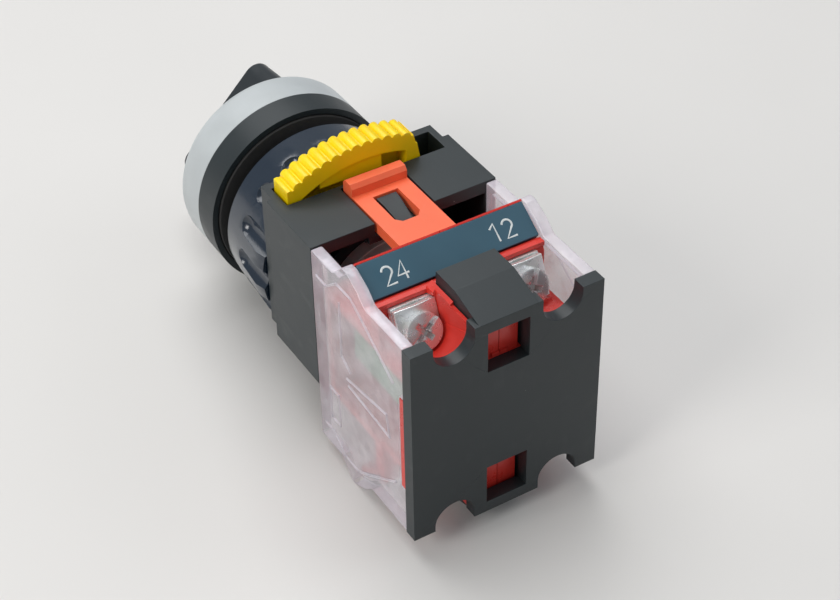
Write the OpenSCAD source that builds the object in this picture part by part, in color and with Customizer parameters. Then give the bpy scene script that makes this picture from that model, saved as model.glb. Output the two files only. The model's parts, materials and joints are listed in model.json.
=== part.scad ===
// Selector switch for a 22 mm panel hole: two-position rotary handle, locking nut,
// mounting adaptor with lock lever, and a double contact block (one NO, one NC).
// The origin is on the operator axis at the gasket face that seats on the panel front.
// +Y runs back through the panel, +Z is up (lock lever side), +X is the NO contact side.

/* [Operator head] */
// Outer diameter of the bezel ring and of the flange
bezel_d = 30; // [27:0.1:40]
// Height of the bezel ring above the flange
bezel_len = 6.6; // [4:0.1:10]
// Radial wall of the bezel ring
bezel_wall = 2.8; // [2:0.1:4]
// Radius of the rounded front edge of the bezel ring
bezel_round = 1.6; // [0.8:0.1:1.9]
// Height of the flange, gasket included
flange_len = 5.0; // [4:0.1:8]
// Diameter of the barrel that passes through the panel
barrel_d = 21.8; // [21:0.1:27]
// Wall of the barrel
barrel_wall = 1.9; // [1.6:0.1:2.4]
// Thickness of the rubber gasket
gasket_t = 1.0; // [0.6:0.1:1.6]
// Width of the gasket ring
gasket_w = 3.0; // [1.5:0.1:3.2]
// Gap left for the panel between the gasket and the locking nut
panel_gap = 2.2; // [2.1:0.1:6]

/* [Handle] */
// Height of the grip above the bezel ring
grip_h = 14.3; // [10:0.1:20]
// Half length of the grip along the pointer
grip_r = 10.5; // [7:0.1:11]
// Width of the grip at its crest
grip_w = 4.6; // [3:0.1:7]
// Width of the grip at its foot
grip_foot_w = 7.0; // [5:0.1:10]
// Angle of the pointer at rest, from +X towards +Z
pointer_angle = 135; // [90:5:180]
// Turn from one position to the other
handle_turn = 90; // [60:5:90]
// Radius of the handle's bearing journal
journal_r = 6.0; // [4.5:0.1:7]
// Width of the handle's square drive
spigot_w = 7; // [5:0.1:7.6]
// Width of the white pointer insert
insert_w = 1.4; // [0.8:0.1:2]
// Depth of the white pointer insert
insert_t = 0.6; // [0.3:0.1:0.8]

/* [Locking nut] */
// Length of the locking nut
nut_len = 12.2; // [8:0.1:16]
// Outer diameter of the locking nut at its rear
nut_d = 29.6; // [28:0.1:36]
// Taper in radius from the rear of the nut to its front
nut_taper = 0.7; // [0:0.1:1.2]
// Number of finger scallops round the nut
nut_scallops = 16; // [8:1:20]
// Radius of each scallop
scallop_r = 2.0; // [1:0.1:2.4]

/* [Adaptor] */
// Length of the mounting adaptor
adaptor_len = 15.8; // [15:0.1:20]
// Length of its narrower front part
adaptor_nose = 3.4; // [2:0.1:5]
// Step on each side from the front part to the rear part
nose_step = 0.95; // [0.3:0.05:1.2]
// Rise of the adaptor's top above the rear cover's edge
adaptor_rise = 0.4; // [0:0.1:1]
// Wall of the adaptor's rear shell
shell_t = 1.8; // [1.2:0.1:2.2]

/* [Lock lever] */
// Rise of the lever's arch above the adaptor's top
arch_rise = 5.5; // [3.5:0.1:8]
// Radial thickness of the arch
arch_t = 2.8; // [2:0.1:4]
// Width of the lever along the operator axis
lever_w = 3.9; // [3:0.1:4.5]
// Number of grip ribs on the arch
lever_ribs = 14; // [8:1:18]

/* [Release latches] */
// Width of each latch tongue
tongue_w = 8.8; // [6:0.1:9]
// Thickness of each latch tongue
tongue_t = 1.8; // [1.2:0.1:2.2]
// Length of the raised lip along the operator axis
lip_len = 2.4; // [1.6:0.1:2.8]
// Height of the raised lip above the tongue
lip_h = 1.8; // [1:0.1:2.4]
// Half width of the window in each tongue
window_half = 2.0; // [1.4:0.1:2.6]

/* [Contact block] */
// Width of the contact block and of the rear cover
block_w = 29.5; // [29:0.1:40]
// Height of the rear cover
block_h = 32.6; // [31:0.1:42]
// Depth of the contact block with its rear cover
block_len = 25.6; // [25:0.1:34]
// Thickness of the rear cover plate
cover_t = 2.1; // [1.5:0.1:3]
// Width of the middle hood of the rear cover
hood_w = 9.0; // [8:0.1:10]
// Wall of the middle hood
hood_wall = 1.2; // [0.8:0.1:1.4]
// Wall of the red contact cases
case_t = 1.2; // [0.8:0.1:1.6]
// Depth of the clear side covers' rim
rim_depth = 1.85; // [1.4:0.05:2.4]
// Thickness of the clear side covers' window
window_t = 1.0; // [0.7:0.05:1.3]
// Thickness of the slanted number bars
bar_t = 1.0; // [0.8:0.1:1.4]
// Rise of each number bar's front edge above the rear cover's edge
bar_rise = 2.9; // [2:0.1:3.4]
// Length of each number bar along the operator axis
bar_run = 4.3; // [3.6:0.1:4.6]
// Length of the hood's flat top
hood_flat = 4.6; // [3:0.1:6]
// Half width of the windows in the rear cover
cover_window = 3.2; // [2:0.1:3.3]

/* [Terminals] */
// Distance of each screw from the middle of the block
screw_x = 8.3; // [8.3:0.05:8.9]
// Depth of each screw's seat below the rear cover's top edge
screw_drop = 4.7; // [4.4:0.1:5]
// Tilt of each screw towards the driver's notch
screw_tilt = 22; // [16:1:26]
// Radius of the terminal screw heads
head_r = 2.6; // [2.2:0.1:2.8]
// Height of the terminal screw heads
head_h = 2.2; // [1.6:0.1:2.6]
// Radius of the terminal screw shanks
shank_r = 1.75; // [1.4:0.05:1.9]
// Radius of the screwdriver notches in the rear cover
notch_r = 3.1; // [2.6:0.1:3.4]
// Half width of the terminal strips and of the clamps
plate_half = 3.1; // [2.8:0.05:3.1]
// Thickness of the terminal strips
strip_t = 0.8; // [0.5:0.05:0.9]
// Thickness of the saddle clamps
clamp_t = 0.9; // [0.7:0.1:1.1]
// Height of the fold along the middle of each clamp
clamp_fold = 0.3; // [0.1:0.05:0.4]

/* [Contacts] */
// Distance of each plunger from the middle of the block
plunger_x = 7.0; // [6.6:0.1:7.2]
// Radius of each plunger's pin
pin_r = 1.5; // [1.2:0.05:1.7]
// Travel of each plunger
travel = 3.0; // [2:0.1:3.2]
// Step that brings the closed side's fixed contacts forward
nc_jog = 6; // [5.6:0.1:6.2]
// Radius of the silver rivets
rivet_r = 0.9; // [0.7:0.05:1.2]
// Outer radius of the return springs
spring_r = 2.2; // [1.8:0.1:2.4]
// Diameter of the return springs' wire
wire_d = 0.45; // [0.3:0.05:0.6]

/* [Fits] */
// Gap between pieces that move past each other
gap = 0.3; // [0.2:0.05:0.4]
// Radial clearance of a shaft in its bearing
running = 0.08; // [0.03:0.01:0.1]
// Rest gap between a closed pair of contacts
contact_gap = 0.15; // [0.1:0.05:0.2]

/* [Hidden] */
$fn = 64;
eps = 0.01;

// Stations along the axis
flange_y = -flange_len;
bezel_y = flange_y - bezel_len;
nut_y = panel_gap;
nut_end = nut_y + nut_len;
adaptor_y = nut_end + gap;
adaptor_end = adaptor_y + adaptor_len;
block_end = adaptor_end + block_len;
cover_y = block_end - cover_t;
// Lever pocket inside the adaptor
pocket_y = adaptor_y + 1.3;
pocket_end = pocket_y + lever_w + 2 * gap;
shell_y = pocket_end + 2.4;
barrel_end = shell_y + 1;
// Bearing, seal and cam shaft
rotor_y = -1.2;
seal_y = -3.4;
seal_r = 0.75;
seal_ring_r = journal_r + running + seal_r + 0.07;
// Plungers and cam
tip_y = adaptor_end - 4.3;
cam_y = tip_y - gap;
cam_steps = 9;
plunger_foot_y = adaptor_end + 2.5;
plunger_end = adaptor_end + 15.5;
// Terminal strips, and the seats of their screws
strip_y = adaptor_end + 14.5;
seat_y = strip_y + 1.2;
// Distances along a screw's own axis, from its seat
clamp_d = strip_t + 0.1;
head_d = clamp_d + clamp_fold + clamp_t;

// Radii
bezel_r = bezel_d / 2;
barrel_r = barrel_d / 2;
bore_r = barrel_r - barrel_wall;
rotor_r = bore_r - running;
adaptor_top = block_h / 2 + adaptor_rise;
adaptor_x = block_w / 2 - 0.1;
belly_r = adaptor_top - gap;
arch_r = adaptor_top + arch_rise;
ring_r = barrel_r + running + 1.6;

// Contact block
case_x = block_w / 2 - rim_depth;
roof_z = 9.2;
floor_z = roof_z - 0.6;
edge_z = block_h / 2;
screw_z = edge_z - screw_drop;
// Ends of each tilted strip below and above its screw, and the rear end of its foot
plate_z = [-(screw_z - floor_z - 0.5) / cos(screw_tilt), 3.7];
foot_end = seat_y - plate_z[0] * sin(screw_tilt) + strip_t + 0.1;
well_r = head_r + 0.5;
well_x = hood_w / 2 + 0.15;
wall_t = 1.4;
rim_t = 1.2;
tab_z = [-8.3, 7.4];
hood_x = hood_w / 2;
hood_y = block_end - 10.5;
hood_top = edge_z + 2.4;
window_z = [edge_z - 7.7, edge_z - 1.2];
notch_z = edge_z - 0.8;
bar_y = adaptor_end + 9.1;
bar_len = norm([bar_run, bar_rise]);
bar_along = [bar_run, -bar_rise] / bar_len;
bar_normal = [bar_rise, bar_run] / bar_len;
bar_top = [bar_y, edge_z + bar_rise];
bar_foot = [bar_y + bar_run, edge_z];
cradle_t = 0.7;
ledge_y = bar_foot[0] - 0.9;
// Latch pivot
pivot_y = adaptor_end + 10.1;
pivot_z = edge_z - 1.9;
knuckle_r = 1.3;
trunnion_r = 0.8;
tongue_top = adaptor_top;
tongue_x = tongue_w / 2;
// Contacts
bridge_y = adaptor_end + 9.7;
bridge_t = 0.6;
rivet_t = 0.5;
rivet_z = 5.3;
tail_half = 2;
bridge_half = 1.8;
spring_seat_r = 1.3;
carrier_x = 3;
carrier_z = 2.6;
jog_y = strip_y - nc_jog;
bridge_nc_y = jog_y + strip_t + 2 * rivet_t + contact_gap;
// Lock lever: its turn, start and spread of its ribs, ends of its web, ends of its thumb block
lever_turn = 13;
rib_a = [56, 56];
web_a = [57, 115];
thumb_x = [-2.6, 7.2];
// Slanted end face of the arch, from its crest down to a foot that stays in the pocket as the lever turns
nose_x = adaptor_x - nose_step;
foot_z = adaptor_top - 1.6;
foot_x = (foot_z * sin(lever_turn) - nose_x + 1.7) / cos(lever_turn);
toe = [
  [foot_x + 1.8, arch_r + 1], [foot_x + 1.3, arch_r - 1.2],
  [foot_x + 0.2, adaptor_top], [foot_x - 0.1, foot_z - 0.4]
];
// Handle drive and detent
spigot_end = 3;
grip_y = bezel_y - grip_h;
detent_y = 6;
ball_r = 1.5;
groove_r = bore_r + 0.45;

// Helpers: everything turns or lies along +Y
module along_y(y) { translate([0, y, 0]) rotate([-90, 0, 0]) children(); }
module across_x(r, x0, x1, y, z) { translate([x0, y, z]) rotate([0, 90, 0]) cylinder(r = r, h = x1 - x0); }
module rod(r, y0, y1, x = 0, z = 0) { translate([x, 0, z]) along_y(y0) cylinder(r = r, h = y1 - y0); }
module tube(r_out, r_in, y0, y1) {
  difference() {
    rod(r_out, y0, y1);
    rod(r_in, y0 - 1, y1 + 1);
  }
}
module block(x0, x1, y0, y1, z0, z1) { translate([x0, y0, z0]) cube([x1 - x0, y1 - y0, z1 - z0]); }
module sector(r0, r1, y0, y1, a0, a1) {
  rotate([90, 0, 0]) rotate([0, 0, a0]) rotate_extrude(angle = a1 - a0)
    translate([r0, -y1]) square([r1 - r0, y1 - y0]);
}
// Outline in X and Z, extruded along +Y
module face_xz(y0, y1) { translate([0, y1, 0]) rotate([90, 0, 0]) linear_extrude(y1 - y0) children(); }
// Outline in Y and Z, extruded along +X
module side_yz(x0, x1) { translate([x0, 0, 0]) rotate([90, 0, 90]) linear_extrude(x1 - x0) children(); }
// A terminal's own frame: +Y along its screw from the seat, +Z up along its strip
module at_screw() { translate([screw_x, seat_y, screw_z]) rotate([screw_tilt, 0, 0]) children(); }
// A piece and its mirror image below the axis, or on the other contact
module top_and_bottom() { children(); mirror([0, 0, 1]) children(); }
module both_sides() { children(); mirror([1, 0, 0]) children(); }

// Wire spring along +Z from the origin
function spring_points(r, wire, len, turns, steps, sides) = [
  for (i = [0:steps], j = [0:sides - 1])
    let (a = 360 * turns * i / steps, b = 360 * j / sides, w = wire / 2,
         ring = r - w + w * cos(b), rise = w + (len - wire) * i / steps + w * sin(b))
      [ring * cos(a), ring * sin(a), rise]
];
function spring_faces(steps, sides) = concat(
  [[for (j = [0:sides - 1]) j]],
  [for (i = [0:steps - 1], j = [0:sides - 1])
    let (k = (j + 1) % sides, a = i * sides) each [
      [a + j, a + sides + j, a + k],
      [a + k, a + sides + j, a + sides + k]
    ]],
  [[for (j = [sides - 1:-1:0]) steps * sides + j]]
);
module spring(r, wire, len, turns) {
  steps = turns * 16;
  polyhedron(spring_points(r, wire, len, turns, steps, 6), spring_faces(steps, 6));
}

// ---- Operator head ----

// Slot in the grip's crest that the pointer insert fills
module pointer_bar(y0, y1) { block(grip_r * 0.12, grip_r - 1.6, y0, y1, -insert_w / 2, insert_w / 2); }

// Square drive between the handle and the cam shaft
module spigot(y0, y1) { block(-spigot_w / 2, spigot_w / 2, y0, y1, -spigot_w / 2, spigot_w / 2); }

// Base disc, pointed grip and drive
module handle() {
  foot_x = grip_r + 1 - grip_foot_w / 2;
  crest_x = grip_r - grip_w / 2;
  color([0.16, 0.18, 0.19]) rotate([0, -pointer_angle, 0]) difference() {
    union() {
      rod(bezel_r - bezel_wall - gap, bezel_y + 0.5, flange_y - gap);
      rod(journal_r, flange_y - gap, rotor_y);
      spigot(rotor_y, spigot_end);
      hull() {
        for (s = [-1, 1]) {
          rod(grip_foot_w / 2, bezel_y, bezel_y + 1, s * foot_x, $fn = 32);
          rod(grip_w / 2, grip_y + 0.8, grip_y + 2, s * crest_x, $fn = 32);
          rod(grip_w / 2 - 0.8, grip_y, grip_y + 1, s * crest_x, $fn = 32);
        }
      }
    }
    pointer_bar(grip_y - 1, grip_y + insert_t);
  }
}

// White line let into the crest at the pointing end
module pointer_insert() {
  color("white") rotate([0, -pointer_angle, 0]) pointer_bar(grip_y, grip_y + insert_t);
}

// One helical ramp, cut in steps, that pushes a plunger as the shaft turns
module cam_ramp() {
  step = handle_turn / cam_steps;
  for (i = [1:cam_steps + 2])
    sector(plunger_x - pin_r - 0.3, rotor_r - 0.2, cam_y - 0.6,
           cam_y + travel * min(i, cam_steps) / cam_steps, i * step, (i + 1) * step);
}

// Shaft that turns with the handle and carries the two ramps
module cam_shaft() {
  color([0.85, 0.85, 0.82]) difference() {
    union() {
      rod(rotor_r, rotor_y, cam_y);
      for (a = [0, 180]) rotate([0, -a, 0]) cam_ramp();
    }
    rotate([0, -pointer_angle, 0]) spigot(rotor_y - 1, spigot_end + gap);
    across_x(ball_r + running, -barrel_r, barrel_r, detent_y, 0);
    rod(2.5, detent_y + 6, cam_y + travel + 1);
  }
}

// Two balls that click into the barrel's notches
module detent_balls() {
  color("silver") both_sides() translate([groove_r - ball_r - 0.1, detent_y, 0]) sphere(r = ball_r);
}

// Spring that drives the balls apart
module detent_spring() {
  len = 2 * (groove_r - 2 * ball_r - 0.1) - 0.1;
  color("gainsboro") translate([-len / 2, detent_y, 0]) rotate([0, 90, 0])
    spring(ball_r - 0.2, 0.35, len, 12);
}

// Ring that trims the flange, with a rounded front edge
module bezel_ring() {
  inner_r = bezel_r - bezel_wall;
  color([0.75, 0.78, 0.79]) along_y(0) rotate_extrude($fn = 128) difference() {
    translate([inner_r, bezel_y]) square([bezel_wall, bezel_len]);
    translate([bezel_r - bezel_round, bezel_y]) difference() {
      translate([0, -1]) square([bezel_round + 1, bezel_round + 1]);
      translate([0, bezel_round]) circle(r = bezel_round);
    }
    polygon([[inner_r - 1, bezel_y - 1], [inner_r + 0.9, bezel_y - 1], [inner_r - 1, bezel_y + 1.6]]);
  }
}

// Flange and barrel, with the handle's bearing in front and the detent track inside
module operator_body() {
  color([0.2, 0.22, 0.23]) difference() {
    union() {
      rod(bezel_r, flange_y, -gap, $fn = 128);
      rod(barrel_r, -gap, barrel_end);
    }
    tube(barrel_r + gasket_w + 0.2, barrel_r, -gasket_t, 1);
    rod(journal_r + running, flange_y - 1, 0);
    rod(bore_r, rotor_y - gap, barrel_end + 1);
    rod(seal_ring_r + seal_r + 0.05, seal_y - seal_r - 0.05, seal_y + seal_r + 0.05);
    rod(groove_r, detent_y - ball_r - 0.1, detent_y + ball_r + 0.1);
    for (a = [0:handle_turn:359])
      rotate([0, -a, 0]) translate([groove_r - 0.9, detent_y, 0]) sphere(r = ball_r);
  }
}

// O-ring in the bearing's groove
module shaft_seal() {
  color("black") along_y(seal_y) rotate_extrude() translate([seal_ring_r, 0]) circle(r = seal_r, $fn = 24);
}

// Flat rubber ring that seats on the panel
module panel_gasket() {
  color([0.1, 0.1, 0.1]) tube(barrel_r + gasket_w, barrel_r + 0.1, -gasket_t, 0);
}

// Tapered ring nut with a row of finger scallops at its rear
module locking_nut() {
  depth = nut_len * 0.48;
  front_r = nut_d / 2 - nut_taper;
  scallop_x = nut_d / 2 + scallop_r * 0.35;
  color([0.14, 0.2, 0.26]) difference() {
    along_y(0) rotate_extrude($fn = 128)
      polygon([[barrel_r, nut_y], [front_r - 0.5, nut_y], [front_r, nut_y + 0.6],
               [nut_d / 2, nut_end - 2], [nut_d / 2 - 0.4, nut_end], [barrel_r, nut_end]]);
    for (i = [0:nut_scallops - 1]) rotate([0, 360 / nut_scallops * i, 0]) {
      rod(scallop_r, nut_end - depth, nut_end + 1, scallop_x, $fn = 32);
      translate([scallop_x, nut_end - depth, 0]) sphere(r = scallop_r, $fn = 32);
    }
  }
}

// ---- Adaptor, lock lever and release latches ----

// Square top and round belly
module adaptor_outline(half_w, top, belly) {
  translate([-half_w, 0]) square([2 * half_w, top]);
  intersection() {
    circle(r = belly, $fn = 128);
    translate([-half_w, -belly]) square([2 * half_w, belly + 1]);
  }
}

// Tapered catch that the tongue's window drops over
module latch_catch() {
  front = adaptor_end - 5;
  rear = adaptor_end + 0.7;
  low = tongue_top - tongue_t - 0.2;
  half = window_half - 0.4;
  intersection() {
    side_yz(-half - 1, half + 1)
      polygon([[front, low - 1], [front, tongue_top - 0.2], [front + 1.5, tongue_top - 0.3],
               [rear, low + 0.7], [rear, low - 0.3], [adaptor_end, low - 1]]);
    translate([0, 0, low - 2]) linear_extrude(6)
      polygon([[-half, front], [half, front], [half - 0.5, rear], [0.5 - half, rear]]);
  }
}

// Black body that the barrel passes into, open at the rear for the contact block
module adaptor_housing() {
  slot_x = tongue_x + gap;
  shelf_z = tongue_top - tongue_t - 0.2;
  color([0.2, 0.22, 0.22]) {
    difference() {
      union() {
        face_xz(adaptor_y, adaptor_y + adaptor_nose + 1)
          adaptor_outline(nose_x, adaptor_top, belly_r - nose_step);
        face_xz(adaptor_y + adaptor_nose, adaptor_end)
          adaptor_outline(adaptor_x, adaptor_top, belly_r);
      }
      rod(barrel_r, adaptor_y - 1, shell_y + 1);
      rod(ring_r + gap, pocket_y, pocket_end);
      block(-nose_x + 1.1, nose_x - 1, pocket_y, pocket_end, ring_r * 0.6, adaptor_top + 1);
      face_xz(shell_y, adaptor_end + 1)
        adaptor_outline(adaptor_x - shell_t, adaptor_top - shell_t - 0.2, belly_r - shell_t);
      top_and_bottom()
        block(-slot_x, slot_x, pocket_end + 0.6, adaptor_end + 1, shelf_z, adaptor_top + 1);
    }
    top_and_bottom() difference() {
      block(-slot_x - 1, slot_x + 1, shell_y - eps, adaptor_end, shelf_z - 1.6, shelf_z);
      block(-slot_x - 2, slot_x + 2, adaptor_end - 1, adaptor_end, shelf_z - 3, shelf_z - 1.2);
    }
    top_and_bottom() latch_catch();
  }
}

// Yellow safety lever: a ring on the barrel, a web and a ribbed arch
module lock_lever() {
  y0 = pocket_y + gap;
  y1 = y0 + lever_w;
  stop_x = nose_x - 1.3;
  inner_r = arch_r - arch_t;
  web_r = inner_r + 0.6;
  web_end = min(web_a[1], 180 - acos(min(1, (nose_x - 1.4) / web_r)) - lever_turn);
  rib_r = 0.75;
  color([1, 0.88, 0]) {
    face_xz(y0, y1) difference() {
      circle(r = ring_r, $fn = 128);
      circle(r = barrel_r + running, $fn = 128);
    }
    sector(ring_r - 0.6, web_r, y0 + 0.3, y0 + 1.5, web_a[0], web_end);
    face_xz(y0, y1) intersection() {
      difference() {
        union() {
          circle(r = arch_r - 0.5, $fn = 128);
          for (i = [0:lever_ribs - 1])
            rotate(rib_a[0] + i * rib_a[1] / (lever_ribs - 1))
              translate([arch_r - rib_r, 0]) circle(r = rib_r, $fn = 24);
        }
        circle(r = inner_r, $fn = 128);
      }
      polygon(concat([[stop_x, adaptor_top - 2], [stop_x, arch_r]], toe));
    }
    // Thumb block under the arch, and the foot under its slanted end
    face_xz(y0 + 1, y1 - 0.3) intersection() {
      circle(r = inner_r + 0.5, $fn = 128);
      translate([thumb_x[0], adaptor_top + 0.2]) square([thumb_x[1] - thumb_x[0], arch_rise]);
    }
    face_xz(y0, y1)
      polygon([[foot_x + 2.4, foot_z], [foot_x + 2.4, inner_r - 0.5], [foot_x + 0.6, inner_r - 0.5],
               [foot_x + 0.2, adaptor_top], [foot_x, foot_z]]);
  }
}

// Springy tongue with a lip, a window for the catch and two trunnions
module latch() {
  lip_y = pocket_end + 0.9;
  lip_end = lip_y + lip_len;
  window_y = adaptor_end - 5.25;
  knuckle_y = pivot_y - 3;
  difference() {
    union() {
      block(-tongue_x, tongue_x, lip_y + 0.4, knuckle_y, tongue_top - tongue_t, tongue_top);
      side_yz(-tongue_x, tongue_x)
        polygon([[lip_y, tongue_top - 1.2], [lip_y, tongue_top + lip_h - 0.5],
                 [lip_y + 0.5, tongue_top + lip_h], [lip_end - 0.5, tongue_top + lip_h],
                 [lip_end, tongue_top + lip_h - 0.6],
                 [lip_end, tongue_top - 0.5], [lip_y + 0.6, tongue_top - tongue_t]]);
      side_yz(-tongue_x, tongue_x)
        polygon([[knuckle_y, tongue_top], [pivot_y, pivot_z + knuckle_r],
                 [pivot_y, pivot_z - knuckle_r], [knuckle_y, tongue_top - tongue_t]]);
      across_x(knuckle_r, -tongue_x, tongue_x, pivot_y, pivot_z);
      across_x(trunnion_r, -tongue_x - 1.2, tongue_x + 1.2, pivot_y, pivot_z);
    }
    translate([0, 0, tongue_top - 5]) linear_extrude(10)
      polygon([[-window_half, window_y], [window_half, window_y], [window_half, adaptor_end + 0.6],
               [window_half - 0.8, adaptor_end + 1.5], [0.8 - window_half, adaptor_end + 1.5],
               [-window_half, adaptor_end + 0.6]]);
  }
}
module latch_top() { color([0.95, 0.38, 0.24]) latch(); }
module latch_bottom() { color([0.95, 0.38, 0.24]) mirror([0, 0, 1]) latch(); }

// ---- Contact block ----

// Parallelogram under the slanted bar: from depth d0 to d1 below its face, past its upper and lower edges
function slant(d0, d1, over, under) = [
  bar_top - over * bar_along - d0 * bar_normal, bar_foot + under * bar_along - d0 * bar_normal,
  bar_foot + under * bar_along - d1 * bar_normal, bar_top - over * bar_along - d1 * bar_normal
];

// Half of the red case, above the axis on the +X side
module case_half() {
  ledge_top = edge_z - 0.4;
  well_floor = floor_z - case_t;
  foot_half = plate_half + 0.1;
  slot_half = tail_half + 0.1;
  slot_z = floor_z + strip_t;
  difference() {
    union() {
      // Inner wall, roof, front and rear walls
      block(0.05, case_t, adaptor_end, cover_y, 0, roof_z);
      block(0.05, case_x, adaptor_end, strip_y, roof_z - case_t, roof_z);
      block(0.05, case_x, adaptor_end, adaptor_end + wall_t, 0, roof_z);
      block(0.05, case_x, cover_y - wall_t, cover_y, 0, floor_z);
      // Ledge below the number bar, and the cradle that carries the bar
      block(0.05, case_x, bar_foot[0], strip_y, roof_z - case_t, ledge_top);
      block(0.05, case_x, ledge_y, strip_y, roof_z - case_t, bar_foot[1] - bar_t - cradle_t / 2);
      side_yz(0.05, case_x) polygon(slant(bar_t, bar_t + cradle_t, 0.3, 0));
      side_yz(0.05, case_x) polygon(slant(0.15, bar_t + 0.1, 0.35, -bar_len - 0.05));
      // Floor and body of the screw well, and the partition beside the hood
      block(case_t, case_x, strip_y, cover_y, well_floor, floor_z);
      block(well_x, screw_x + plate_half, strip_y, cover_y, well_floor, screw_z + 1.2);
      face_xz(strip_y - 0.1, cover_y - 3.9)
        polygon([[well_x, roof_z], [well_x, edge_z + 0.6], [well_x + 0.9, edge_z], [well_x + 0.9, roof_z]]);
      block(well_x, well_x + 1.2, cover_y - 4, cover_y, well_floor, edge_z + 0.1);
      // Hook seen through the rear cover's window
      block(0.05, hood_x - hood_wall - 0.4, hood_y + 1, cover_y - 0.3, well_floor, edge_z + 0.1);
    }
    // Bed of the tilted strip and clamp, well of the screw, and the driver's way out
    at_screw() {
      block(-plate_half - 0.05, case_x, -0.1, head_d + 0.1, plate_z[0] - 0.1, plate_z[1] + 0.1);
      rod(well_r, head_d - 0.1, 20);
      block(-plate_half - 0.05, case_x, head_d, 20, 0, 20);
      block(0, case_x, head_d, 20, -well_r, 20);
      rod(shank_r + 0.15, -2.5, 1);
    }
    // Bed of the strip's foot and tail
    block(screw_x - foot_half, screw_x + foot_half, strip_y, foot_end + 0.1, floor_z, slot_z + 0.15);
    block(plunger_x - slot_half, plunger_x + slot_half, strip_y, strip_y + strip_t, 3, slot_z);
    rod(pin_r + 0.1, adaptor_end - 1, adaptor_end + 2, plunger_x);
  }
  // Ear that holds a latch trunnion
  difference() {
    block(tongue_x + gap, tongue_x + 1.5, pivot_y - 1.8, ledge_y, roof_z - eps, pivot_z + knuckle_r);
    across_x(trunnion_r + running, 0, case_x, pivot_y, pivot_z);
  }
}

// Red case of one contact, open on its outer side, with a tab that reaches through the clear cover
module contact_case() {
  top_and_bottom() case_half();
  rod(spring_seat_r, cover_y - 3.6, cover_y - wall_t, plunger_x);
  block(case_x - eps, block_w / 2 - 0.1, cover_y - 1, cover_y, tab_z[0], tab_z[1]);
}
module contact_case_no() { color([0.85, 0.16, 0.12]) contact_case(); }
module contact_case_nc() { color([0.85, 0.16, 0.12]) mirror([1, 0, 0]) contact_case(); }

// Outline of a clear side cover, crested beside each number bar
function cover_half(d) = [
  [adaptor_end + 0.1 + d, edge_z + 0.3 - d], [bar_y - 3.2, edge_z + 0.3 - d],
  [bar_y - 0.6, edge_z + bar_rise - d], [bar_y + 0.6, edge_z + bar_rise - d],
  [bar_foot[0] - 1, edge_z + 1.6 - d], [bar_foot[0] + 0.8, edge_z - d], [cover_y - d, edge_z - d]
];
function flipped(pts) = [for (i = [len(pts) - 1:-1:0]) [pts[i][0], -pts[i][1]]];

// Clear tray that closes the case's open side
module side_cover() {
  outer_x = block_w / 2;
  color([0.85, 0.82, 0.9, 0.4]) difference() {
    side_yz(case_x, outer_x) polygon(concat(cover_half(0), flipped(cover_half(0))));
    side_yz(case_x - 1, outer_x - window_t) polygon(concat(cover_half(rim_t), flipped(cover_half(rim_t))));
    block(case_x, outer_x + 1, cover_y - rim_t, cover_y + 1, tab_z[0] - 0.2, tab_z[1] + 0.2);
  }
}
module side_cover_no() { side_cover(); }
module side_cover_nc() { mirror([1, 0, 0]) side_cover(); }

// Black plate with screwdriver notches, two windows and a hood over the middle
module rear_cover() {
  color([0.22, 0.25, 0.26]) difference() {
    union() {
      block(-block_w / 2, block_w / 2, cover_y, block_end, -edge_z, edge_z);
      block(-screw_x, screw_x, cover_y, block_end, -edge_z - 0.6, edge_z + 0.6);
      top_and_bottom() side_yz(-hood_x, hood_x)
        polygon([[hood_y, floor_z], [hood_y, hood_top], [hood_y + hood_flat, hood_top],
                 [block_end, edge_z + 0.6], [block_end, floor_z]]);
    }
    top_and_bottom() {
      block(hood_wall - hood_x, hood_x - hood_wall, hood_y - 1, cover_y, floor_z - 1, edge_z + 0.4);
      block(-cover_window, cover_window, cover_y - 1, block_end + 1, window_z[0], window_z[1]);
      both_sides() {
        rod(notch_r, cover_y - 1, block_end + 1, screw_x, notch_z);
        block(screw_x - notch_r, screw_x + notch_r, cover_y - 1, block_end + 1, notch_z, edge_z + 1);
      }
    }
  }
}

// Slanted plate that carries the terminal numbers
module number_bar() {
  color([0.3, 0.4, 0.47]) side_yz(-case_x + 0.1, case_x - 0.1) polygon(slant(0, bar_t, 0, 0));
}
module number_bar_top() { number_bar(); }
module number_bar_bottom() { mirror([0, 0, 1]) number_bar(); }

// ---- Terminals and contacts ----

// Strip from a screw terminal to a fixed contact. jog moves the contact end forward.
module terminal_strip(jog) {
  contact_y = strip_y - jog;
  rivet_end = rivet_z - 1.7;
  tail_z = jog > 0 ? roof_z - case_t - strip_t : rivet_end;
  strip_z = floor_z + 0.05;
  tail_x = [plunger_x - tail_half, plunger_x + tail_half];
  difference() {
    union() {
      at_screw() block(-plate_half, plate_half, 0, strip_t, plate_z[0], plate_z[1]);
      block(screw_x - plate_half, screw_x + plate_half, strip_y, foot_end, strip_z, strip_z + strip_t);
      block(tail_x[0], tail_x[1], strip_y, strip_y + strip_t, tail_z, strip_z + strip_t / 2);
      if (jog > 0) {
        block(tail_x[0], tail_x[1], contact_y, strip_y + strip_t, tail_z, tail_z + strip_t);
        block(tail_x[0], tail_x[1], contact_y, contact_y + strip_t, rivet_end, tail_z + eps);
      }
    }
    at_screw() rod(shank_r, -1, strip_t + 1);
  }
}
module terminals_no() { color("silver") top_and_bottom() terminal_strip(0); }
module terminals_nc() { color("silver") mirror([1, 0, 0]) top_and_bottom() terminal_strip(nc_jog); }

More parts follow.
